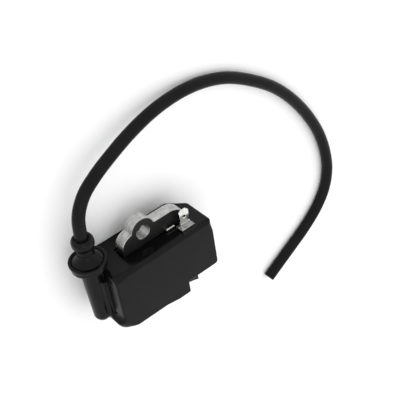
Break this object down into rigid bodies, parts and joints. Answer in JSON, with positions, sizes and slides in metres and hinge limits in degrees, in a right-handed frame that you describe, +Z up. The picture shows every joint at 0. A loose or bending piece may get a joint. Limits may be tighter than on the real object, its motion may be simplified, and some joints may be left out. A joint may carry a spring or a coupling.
{
  "type": "ignition coil",
  "caption": "Potted ignition coil module for a small two-stroke engine: laminated U core with bolt ear, spade terminal, lead tower with rubber boot, and high-tension lead with a bare end.",
  "frame": {"origin": "middle of the module's footprint on the surface it lies on, with the free lead left out, at the height of its back face", "axes": "+Z up through the module's thickness, from the potted back to the large front face; +X along the module, away from the lead tower; +Y towards the terminal side, away from the flywheel"},
  "size_m": [0.1418, 0.1272, 0.0218],
  "materials": {
    "moulding": "semi-gloss moulded black",
    "resin": "cast black epoxy",
    "lamination": "punched steel edges, black-coated faces",
    "bobbin": "natural moulded",
    "copper": "enamelled copper wire",
    "tinned": "tinned sheet",
    "brass": "turned brass",
    "board": "green solder mask",
    "component": "dipped coating",
    "semiconductor": "moulded package",
    "rubber": "satin black rubber",
    "lead_jacket": "satin black jacket"
  },
  "bodies": {
    "root": {"housing_shell": "moulding", "potting_resin": "resin", "laminated_core": "lamination", "primary_bobbin": "bobbin", "primary_winding": "copper", "secondary_bobbin": "bobbin", "secondary_winding_1": "copper", "secondary_winding_2": "copper", "secondary_winding_3": "copper", "secondary_winding_4": "copper", "secondary_winding_5": "copper", "charge_bobbin": "bobbin", "charge_winding": "copper", "circuit_board": "board", "storage_capacitor": "component", "thyristor": "semiconductor", "rectifier_diode_1": "semiconductor", "rectifier_diode_2": "semiconductor", "timing_resistor_1": "component", "timing_resistor_2": "component", "kill_terminal": "tinned", "earth_strap": "tinned", "high_tension_contact": "brass", "secondary_output_wire": "copper", "primary_output_wire": "copper", "lead_boot": "rubber", "high_tension_lead": "lead_jacket", "lead_conductor": "copper"}
  },
  "joints": []
}
